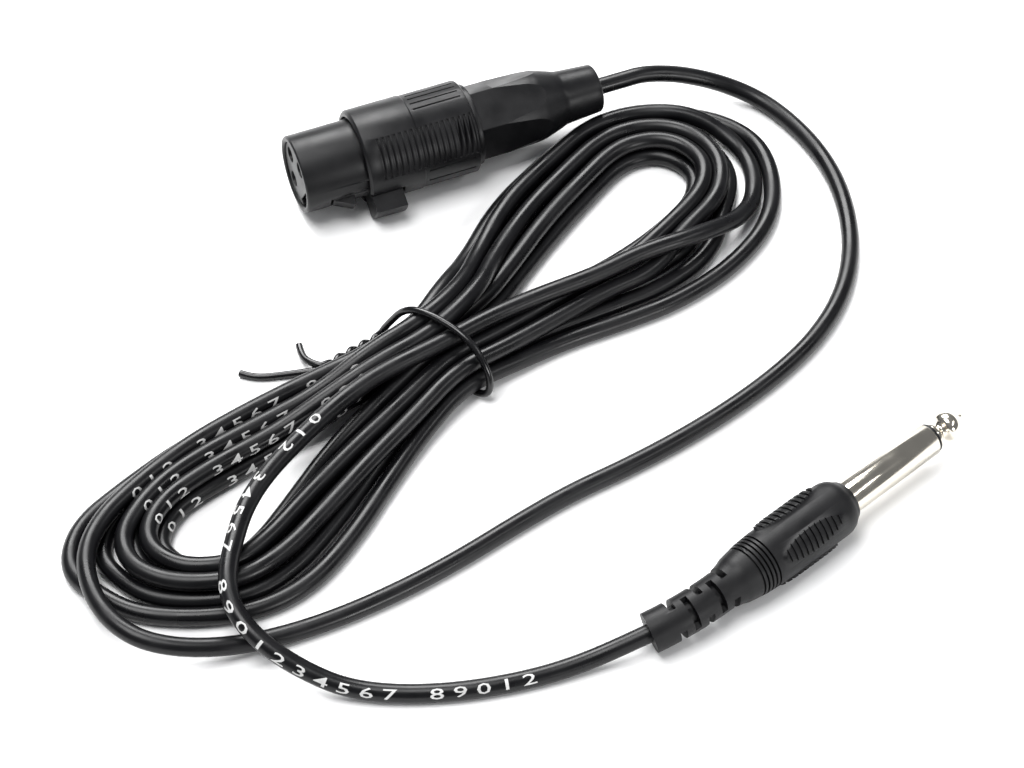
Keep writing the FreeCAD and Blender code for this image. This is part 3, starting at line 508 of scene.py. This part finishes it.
def smooth_curve(
    name: str, points: Iterable[Vector], radius: float, steps: int, sides: int
) -> bpy.types.Object:
    """Lay a round cord along one NURBS spline.

    Args:
        name: Name of the new object.
        points: Control points in millimetres.
        radius: Radius of the cord in millimetres, or 0 for the bare line.
        steps: Steps from one control point to the next.
        sides: Sides of the cord's section.

    Returns:
        The curve object, with no parent.
    """
    route = [Vector(point) * MM for point in points]
    data = bpy.data.curves.new(name, "CURVE")
    data.dimensions = "3D"
    spline = data.splines.new("NURBS")
    spline.points.add(len(route) - 1)
    for knot, point in zip(spline.points, route):
        knot.co = (*point, 1.0)
    spline.order_u = 3
    spline.use_endpoint_u = True
    spline.use_smooth = True
    data.resolution_u = steps
    spline.resolution_u = steps
    data.bevel_depth = radius * MM
    data.bevel_resolution = max(0, sides // 2 - 2)
    data.use_fill_caps = radius > 0
    return add_object(name, data)


def through(points: Sequence[Vector]) -> list[Vector]:
    """Push control points outwards, so that the smooth line runs through the given points.

    Args:
        points: Points that the cord's middle should pass.

    Returns:
        Control points; a quadratic spline cuts inside each by an eighth of its second difference.
    """
    pushed = [points[0]]
    for before, here, after in zip(points, points[1:], points[2:]):
        pushed.append(here - (before - 2 * here + after) / 8)
    pushed.append(points[-1])
    return pushed


@dataclass
class Track:
    """The cord's middle as a line of points in metres, with each one's distance from the start."""

    line: Sequence[Vector]
    runs: Sequence[float] = field(init=False)

    def __post_init__(self) -> None:
        """Measure the line."""
        steps = ((after - before).length for before, after in pairwise(self.line))
        self.runs = list(accumulate(steps, initial=0.0))

    def skin(self, at: float, around: float, out: float, up: Vector) -> Vector:
        """Place on the cord's skin.

        Args:
            at: Distance along the cord.
            around: Angle round the cord from the printed side's middle, in radians.
            out: Distance from the cord's middle.
            up: Direction that the print faces.

        Returns:
            The point in metres.
        """
        # The directions below need one point before this one and two after it.
        i = min(max(bisect.bisect_right(self.runs, at) - 1, 1), len(self.line) - 3)
        part = (at - self.runs[i]) / (self.runs[i + 1] - self.runs[i])
        middle = self.line[i].lerp(self.line[i + 1], part)
        before = (self.line[i + 1] - self.line[i - 1]).normalized()
        after = (self.line[i + 2] - self.line[i]).normalized()
        along = before.lerp(after, part).normalized()
        normal = (up - along * up.dot(along)).normalized()
        side = normal.cross(along)
        return middle + (normal * math.cos(around) + side * math.sin(around)) * out


@dataclass
class Cord:
    """The whole cord: free end at the connector, the hank's loops, free end at the jack.

    Attributes:
        bench: Places of the pieces.
        hank: The loops.
        xlr_free: Points of the free end at the three-pole connector, towards the hank.
        jack_free: Points of the free end at the jack, away from the hank.
        boot_travel: How far the boot slides back over the cord.
        exit_run: How far the cord leaves the boot straight.
        relief_run: The same at the strain relief.
        seated: How far each end goes into its connector.
        print_end: Start of the print on the free end, from the cord's end in metres.
        print_stop: End of that print, likewise.
        print_gap: How far the print stops short on a loop, in metres.
        print_along: The loops' printed range along the hank.
        print_above: The lowest place across the hank that is printed.
    """

    bench: Bench
    hank: Hank
    xlr_free: Sequence[Triple] = (
        (15.9, 71.8, 7.2),
        (25.2, 72.1, 3.9),
        (33.4, 68.9, 1.8),
        (40.9, 59.6, 1.75),
        (45.7, 49.4, 1.75),
        (48.0, 38.0, 1.75),
        (47.9, 26.3, 1.75),
        (45.0, 15.0, 1.75),
        (39.2, 4.6, 1.75),
        (31.3, -4.4, 1.75),
        (22.2, -12.6, 1.75),
        (12.4, -20.0, 1.75),
        (2.2, -26.7, 1.75),
        (-8.3, -32.7, 1.75),
        (-18.3, -39.9, 1.75),
        (-28.5, -47.8, 1.75),
        (-39.3, -55.0, 1.75),
        (-51.0, -61.4, 1.75),
        (-62.9, -66.2, 2.0),
        (-73.6, -69.0, 3.4),
        (-83.4, -68.9, 4.9),
        (-90.0, -65.2, 5.6),
        (-94.6, -58.4, 5.7),
        (-96.6, -49.9, 5.7),
        (-94.2, -41.6, 5.6),
        (-87.9, -33.1, 5.4),
        (-79.2, -24.0, 5.3),
        (-68.9, -16.2, 5.3),
        (-58.7, -9.4, 5.3),
        (-48.3, -3.4, 5.7),
    )
    jack_free: Sequence[Triple] = (
        (-44.0, -10.8, 10.2),
        (-51.5, -17.8, 10.0),
        (-58.4, -26.5, 10.1),
        (-64.2, -34.6, 9.8),
        (-67.6, -42.0, 9.7),
        (-69.1, -49.2, 9.7),
        (-70.1, -56.7, 9.7),
        (-69.2, -62.7, 9.4),
        (-66.4, -67.4, 8.4),
        (-61.8, -71.3, 6.5),
        (-55.6, -74.3, 4.3),
        (-48.7, -76.6, 2.5),
        (-40.1, -77.5, 1.75),
        (-29.6, -77.1, 1.75),
        (-19.4, -75.2, 1.75),
        (-10.7, -72.6, 1.8),
    )
    boot_travel: float = 6.0
    exit_run: float = 11.0
    relief_run: float = 8.0
    seated: float = 1.0
    print_end: float = 0.128
    print_stop: float = 0.024
    print_gap: float = 0.006
    print_along: Pair = (-66, -12)
    print_above: float = -2.5

    def route(self) -> list[Vector]:
        """Control points of the whole cord, in millimetres in the frame."""
        xlr, hank = self.bench.xlr(), self.bench.hank()
        exits = (-self.seated, self.boot_travel, self.exit_run)
        mouth, way = self.bench.relief_mouth()
        loops = [hank @ point for point in self.hank.points()]
        return [
            *(xlr @ Vector((self.bench.boot_end + run, 0, 0)) for run in exits),
            *(Vector(point) for point in self.xlr_free),
            *through(loops),
            *(Vector(point) for point in self.jack_free),
            mouth + way * self.relief_run,
            mouth - way * self.seated,
        ]

    def build(self, material: bpy.types.Material) -> bpy.types.Object:
        """Make the cord and return it."""
        cord = smooth_curve("cord", self.route(), self.hank.cord_d / 2, steps=8, sides=20)
        cord.data.materials.append(material)
        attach(cord, "root")
        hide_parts("cord_hank", "cord_xlr_tail", "cord_jack_tail")
        return cord

    def track(self) -> Track:
        """Line along the cord's middle, measured."""
        bare = smooth_curve("cord_line", self.route(), 0.0, steps=12, sides=0)
        mesh = mesh_of(bare)
        track = Track([vertex.co.copy() for vertex in mesh.vertices])
        bpy.data.meshes.remove(mesh)
        bpy.data.objects.remove(bare)
        return track

    def print_spans(self, track: Track) -> list[Span]:
        """Stretches with print that shows: the left lobe's upper runs and the end to the jack.

        Args:
            track: Line along the cord's middle.

        Returns:
            The stretches in order along the cord.
        """
        back = self.bench.hank().inverted()
        low, high = self.print_along
        spans: list[Span] = []
        start, last = None, track.line[0]
        for point, run in zip(track.line, track.runs):
            place = back @ (point / MM)
            heading = (back.to_3x3() @ (point - last)).x
            inside = low < place.x < high and place.y > self.print_above and heading > 0
            last = point
            if inside and start is None:
                start = run
            if not inside and start is not None:
                spans.append(Span(start, run - self.print_gap, Facing.LOOP))
                start = None
        end = track.runs[-1]
        spans.append(Span(end - self.print_end, end - self.print_stop, Facing.FREE_END))
        return spans


@dataclass
class Tie:
    """Plastic covered wire: once round the waist, its two ends twisted together and left long.

    Attributes:
        bench: Places of the pieces.
        wire_r: Radius of the wire.
        long_end: Points of the long end, towards the twist, in the hank's frame.
        round_waist: Points of the loop round the waist.
        short_end: Points of the short end, away from the twist.
        twist_from: Place along the hank where the twist starts.
        twist_step: Step along the hank between two points of the twist.
        twist_turn: Turn between two points of the twist, in degrees.
        twist_points: Number of points of each wire in the twist.
        twist_centre: Middle of the twist: its place across the hank and its height.
        twist_r: Distance of each wire's middle from the twist's.
        inner_angle: Angle round the twist at which the wire enters the loop.
        outer_angle: Angle at which it leaves the loop.
    """

    bench: Bench
    wire_r: float = 0.72
    long_end: Sequence[Triple] = (
        (-31.4, 22.2, 0.73),
        (-30.2, 20.3, 0.74),
        (-28.0, 18.5, 0.76),
        (-24.5, 16.7, 0.8),
        (-20.5, 14.6, 0.9),
    )
    round_waist: Sequence[Triple] = (
        (-4.4, 12.7, 0.8),
        (-2.0, 9.0, 0.74),
        (1.0, 0.0, 0.73),
        (2.8, -10.7, 0.73),
        (4.4, -11.1, 5.6),
        (3.8, -5.4, 12.0),
        (1.6, 2.75, 12.8),
        (-1.2, 9.2, 11.9),
        (-3.6, 12.9, 4.6),
        (-4.8, 13.2, 2.6),
    )
    short_end: Sequence[Triple] = (
        (-18.2, 13.6, 1.9),
        (-19.5, 16.0, 1.7),
        (-19.6, 18.6, 1.2),
        (-18.4, 21.3, 0.9),
    )
    twist_from: float = -6.0
    twist_step: float = 0.95
    twist_turn: float = 60.0
    twist_points: int = 12
    twist_centre: Pair = (13.1, 1.5)
    twist_r: float = 0.8
    inner_angle: float = 240.0
    outer_angle: float = 60.0

    def twisted(self, start_angle: float) -> list[Triple]:
        """Points of one wire in the twist, from the waist outwards.

        Args:
            start_angle: Angle round the twist at its start, in degrees.

        Returns:
            Points in the hank's frame.
        """
        side, height = self.twist_centre
        points = []
        for step in range(self.twist_points):
            angle = math.radians(start_angle + self.twist_turn * step)
            along = self.twist_from - step * self.twist_step
            across = side + self.twist_r * math.cos(angle)
            points.append((along, across, height + self.twist_r * math.sin(angle)))
        return points

    def route(self) -> list[Triple]:
        """Points of the whole wire in the hank's frame, from its long end to its short one."""
        return [
            *self.long_end,
            *reversed(self.twisted(self.inner_angle)),
            *self.round_waist,
            *self.twisted(self.outer_angle),
            *self.short_end,
        ]

    def build(self, material: bpy.types.Material) -> bpy.types.Object:
        """Make the tie and return it."""
        place = self.bench.hank()
        points = [place @ Vector(point) for point in self.route()]
        tie = smooth_curve("wire_tie", points, self.wire_r, steps=10, sides=16)
        tie.data.materials.append(material)
        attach(tie, "root")
        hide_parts("tie_wire")
        return tie


@dataclass
class Print:
    """White length marks on the cord: plain figures in wide letters, in runs with gaps.

    Attributes:
        cord_r: Radius of the cord.
        height_mm: Height of a figure, round the cord.
        width_mm: Width of a figure.
        pitch_mm: Distance from one figure to the next.
        gap_mm: Extra distance after each run of figures.
        ink_mm: Thickness of the ink.
        ink_sunk: Share of that thickness that lies under the cord's skin.
        groups: Number of figures in each run, over and over.
        slices: Strips that a figure is cut into each way, so that it bends with the cord.
        stroke: What the strokes are thickened by, in shares of the letters' size.
        least_width: Least width that a figure counts with, in shares of its height.
        letter_weld: Distance under which a letter's corners are one.
        mark_weld: The same on the finished print, in metres.
    """

    cord_r: float
    height_mm: float = 2.0
    width_mm: float = 2.7
    pitch_mm: float = 4.1
    gap_mm: float = 4.1
    ink_mm: float = 0.035
    ink_sunk: float = 0.4
    groups: Sequence[int] = (3, 5, 10, 5)
    slices: int = 6
    stroke: float = 0.003
    least_width: float = 0.7
    letter_weld: float = 1e-5
    mark_weld: float = 1e-7

    def letter(self, figure: str) -> bpy.types.Mesh:
        """Make one solid figure in the default letters."""
        data = bpy.data.curves.new("figure", "FONT")
        data.body = figure
        data.extrude = 0.5
        data.offset = self.stroke
        data.resolution_u = 2
        holder = add_object("figure", data)
        mesh = mesh_of(holder)
        bpy.data.objects.remove(holder)
        bpy.data.curves.remove(data)
        return mesh

    def glyph(self, figure: str) -> list[list[Vector]]:
        """Slice one figure and return its faces as corner places, 1 wide, 1 high and 1 thick."""
        mesh = self.letter(figure)
        low = Vector([min(v.co[i] for v in mesh.vertices) for i in range(3)])
        high = Vector([max(v.co[i] for v in mesh.vertices) for i in range(3)])
        size = high - low
        shape = bmesh.new()
        shape.from_mesh(mesh)
        bpy.data.meshes.remove(mesh)
        bmesh.ops.remove_doubles(shape, verts=shape.verts, dist=self.letter_weld)
        for step in range(1, self.slices):
            for axis in (0, 1):
                place = low.copy()
                place[axis] += size[axis] * step / self.slices
                normal = Vector([float(i == axis) for i in range(3)])
                geometry = [*shape.verts, *shape.edges, *shape.faces]
                bmesh.ops.bisect_plane(shape, geom=geometry, plane_co=place, plane_no=normal)
        middle = (low + high) / 2
        # A narrow figure such as 1 isn't drawn out to the full width.
        size.x = max(size.x, self.least_width * size.y)
        faces = [
            [Vector([(v.co[i] - middle[i]) / size[i] + 0.5 for i in range(3)]) for v in face.verts]
            for face in shape.faces
        ]
        shape.free()
        return faces

    def places(self, span: Span) -> Iterator[tuple[float, int]]:
        """Give each figure of a span and the distance along the cord at which it starts."""
        at, count = span.start, 0
        for group in cycle(self.groups):
            for _ in range(group):
                if at >= span.end:
                    return
                yield at, count % 10
                at += self.pitch_mm * MM
                count += 1
            at += self.gap_mm * MM

    def build(
        self, track: Track, spans: Sequence[Span], material: bpy.types.Material
    ) -> bpy.types.Object:
        """Print the figures on the given spans of the cord.

        Args:
            track: Line along the cord's middle.
            spans: The printed stretches.
            material: The ink.

        Returns:
            One object that holds all figures.
        """
        glyphs = [self.glyph(str(figure)) for figure in range(10)]
        mesh = bmesh.new()
        for span in spans:
            up = Vector(span.facing.value).normalized()
            for at, figure in self.places(span):
                for face in glyphs[figure]:
                    corners = [self.on_skin(track, at, corner, up) for corner in face]
                    mesh.faces.new([mesh.verts.new(corner) for corner in corners])
        bmesh.ops.remove_doubles(mesh, verts=mesh.verts, dist=self.mark_weld)
        bmesh.ops.recalc_face_normals(mesh, faces=mesh.faces)
        data = bpy.data.meshes.new("cord_figures")
        mesh.to_mesh(data)
        mesh.free()
        data.materials.append(material)
        marks = add_object("cord_figures", data)
        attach(marks, "root")
        return marks

    def on_skin(self, track: Track, at: float, corner: Vector, up: Vector) -> Vector:
        """Bend one corner of a figure round the cord.

        Args:
            track: Line along the cord's middle.
            at: Where the figure starts along the cord.
            corner: The corner in shares of the figure's width, height and thickness.
            up: Direction that the print faces.

        Returns:
            The point in metres.
        """
        x = at + corner.x * self.width_mm * MM
        around = (corner.y - 0.5) * self.height_mm / self.cord_r
        out = (self.cord_r + (corner.z - self.ink_sunk) * self.ink_mm) * MM
        return track.skin(x, around, out, up)


@dataclass(frozen=True)
class SoftBox:
    """One rectangular light.

    Attributes:
        name: Name of the light.
        centre: Its middle in millimetres.
        aim: The point that it faces.
        size: Width and height in millimetres.
        power: Power in watts.
    """

    name: str
    centre: Triple
    aim: Triple
    size: Pair
    power: float

    def build(self) -> None:
        """Make the light."""
        data = bpy.data.lights.new(self.name, "AREA")
        data.shape = "RECTANGLE"
        data.size, data.size_y = (side * MM for side in self.size)
        data.energy = self.power
        lamp = add_object(self.name, data)
        way = Vector(self.aim) - Vector(self.centre)
        lamp.location = Vector(self.centre) * MM
        lamp.rotation_euler = way.to_track_quat("-Z", "Y").to_euler()


@dataclass
class Studio:
    """Camera, lights and floor.

    Attributes:
        look_at: Point on the floor in the middle of the picture.
        elevation: Angle of the camera above the floor.
        distance: Distance from the camera to that point.
        lens: Focal length for a sensor 36 mm wide.
        floor_half: Half the floor's side.
        boxes: The soft boxes: the long sheen on the strands' far sides, the even light from
            above, the weak light into the shadows, and the bright stripe on the plug.
    """

    look_at: Triple = (-19.2, -5.1, 0.0)
    elevation: float = 50.3
    distance: float = 587.0
    lens: float = 107.8
    floor_half: float = 2000.0
    boxes: Sequence[SoftBox] = (
        SoftBox("back_box", (-250, 900, 900), (0, 0, 0), (900, 600), 26.0),
        SoftBox("top_box", (-300, -100, 1200), (0, 0, 0), (700, 700), 15.0),
        SoftBox("front_box", (800, -900, 330), (0, 0, 0), (350, 260), 5.0),
        SoftBox("plug_strip", (650, -160, 650), (60, -20, 0), (600, 60), 1.6),
    )

    def build(self) -> None:
        """Make the whole studio."""
        self.camera()
        for box in self.boxes:
            box.build()
        self.room()
        self.floor()

    def camera(self) -> None:
        """Make the camera at the photograph's angle."""
        data = bpy.data.cameras.new("camera")
        data.lens = self.lens
        data.sensor_width = 36.0
        data.clip_start = 0.01
        data.clip_end = 20.0
        camera = add_object("camera", data)
        angle = math.radians(self.elevation)
        back = Vector((0, -math.cos(angle), math.sin(angle)))
        camera.location = (Vector(self.look_at) + back * self.distance) * MM
        camera.rotation_euler = (-back).to_track_quat("-Z", "Y").to_euler()
        bpy.context.scene.camera = camera

    def room(self) -> None:
        """Make the pale surroundings."""
        world = bpy.data.worlds.new("pale_room")
        world.use_nodes = True
        background = world.node_tree.nodes["Background"]
        background.inputs["Color"].default_value = linear("f4f6fa")
        background.inputs["Strength"].default_value = 0.25
        bpy.context.scene.world = world
        bpy.context.scene.view_settings.view_transform = "Standard"

    def floor(self) -> None:
        """Make the plain pale floor."""
        mesh = bmesh.new()
        bmesh.ops.create_grid(mesh, x_segments=1, y_segments=1, size=self.floor_half * MM)
        data = bpy.data.meshes.new("floor")
        mesh.to_mesh(data)
        mesh.free()
        floor = add_object("floor", data)
        # Matt paper, which shows soft shadows and no reflections.
        paper = bpy.data.materials.new("matt_white_paper")
        paper.use_nodes = True
        shader = paper.node_tree.nodes["Principled BSDF"]
        shader.inputs["Base Color"].default_value = linear("f6f6f6")
        shader.inputs["Roughness"].default_value = 0.9
        data.materials.append(paper)
        floor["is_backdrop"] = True


@dataclass
class Finishes:
    """The finishes of all pieces, each named for the real material."""

    # Extruded PVC with a satin skin: near black, with one soft highlight along each strand.
    jacket: Finish = Plastic("satin_pvc_jacket", "09090b", 0.32, "0e0e10", 0.35, 0.004, 1.36)
    # Glossy PVC on thin wire: black with a narrow bright line.
    tie_skin: Finish = Plastic("gloss_pvc_wire_cover", "08080a", 0.22, "0c0c0e", 0.4, 0.003, 1.45)
    # Moulded nylon: black with a broad dim sheen and a fine even grain.
    nylon: Finish = Plastic("moulded_black_nylon", "09090b", 0.4, "0f0f11", 0.22, 0.012, 1.34)
    # Soft moulded PVC: the dullest black, with hardly a highlight.
    soft_pvc: Finish = Plastic("soft_moulded_pvc", "08080a", 0.48, "0d0d0f", 0.25, 0.015, 1.32)
    # Printed ink: flat light grey.
    ink: Finish = Plastic("white_marking_ink", "c9c9c8", 0.5, "aaaaa9", 0.3, 0.002)
    # Bright nickel plate: a warm mirror with slightly dull smudges.
    nickel: Finish = Plate("bright_nickel_plate", "d8d2c6", 0.12)
    # Tin plate over brass: dull pale yellow.
    brass: Finish = Plate("tin_plated_brass", "c9b98a", 0.35)
    # Bare copper strands: dull warm red.
    copper: Finish = Plate("bare_copper", "b87355", 0.4)
    # Extruded PVC on the inner core: plain red.
    core: Finish = Plastic("red_pvc_core", "9c1f1a", 0.35, "8c1a16", 0.4, 0.003)


def dress(node: bpy.types.Object, material: bpy.types.Material, edge_mm: float) -> None:
    """Give a packed node its material, weld its loose triangles and round its edges a little.

    Args:
        node: The node's object, whose mesh stays as it is.
        material: The finish.
        edge_mm: Width of the rounding of its edges, or 0 for none.
    """
    node.data.materials.clear()
    node.data.materials.append(material)
    weld = node.modifiers.new("weld", "WELD")
    weld.merge_threshold = WELD_MM * MM
    if edge_mm:
        bevel = node.modifiers.new("edges", "BEVEL")
        bevel.width = edge_mm * MM
        bevel.segments = EDGE_SEGMENTS
        bevel.limit_method = "ANGLE"
        bevel.angle_limit = math.radians(EDGE_ANGLE)


def main() -> None:
    """Build every piece in order."""
    logging.basicConfig(level=logging.INFO, format="%(message)s")
    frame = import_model()
    low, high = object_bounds()
    sizes = {"cad_low": list(low), "cad_high": list(high)}
    Studio().build()
    finish = {name: maker.material() for name, maker in vars(Finishes()).items()}
    by_slot = {
        "nickel_plate": finish["nickel"],
        "plated_brass": finish["brass"],
        "steel": finish["nickel"],
        "bare_copper": finish["copper"],
        "core_insulation": finish["core"],
        "cord_jacket": finish["jacket"],
        "moulded_pvc": finish["soft_pvc"],
    }
    slots = {row["node"]: row["material_slot"] for row in frame["record"]["subparts"]}
    for name, node in frame["nodes"].items():
        edge_mm = EDGE_MM if slots[name].startswith("black") else 0.0
        dress(node, by_slot.get(slots[name], finish["nylon"]), edge_mm)
    bench = Bench()
    maker = Cord(bench, Hank())
    cord = maker.build(finish["jacket"])
    tie = Tie(bench).build(finish["tie_skin"])
    track = maker.track()
    printer = Print(maker.hank.cord_d / 2)
    marks = printer.build(track, maker.print_spans(track), finish["ink"])
    length = track.runs[-1]
    LOG.info("cord is %.3f m long", length)
    exit_point = bench.xlr() @ Vector((bench.boot_end, 0, 0)) * MM
    low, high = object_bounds()
    sizes |= {"seen_low": list(low), "seen_high": list(high)}


if __name__ == "__main__":
    main()
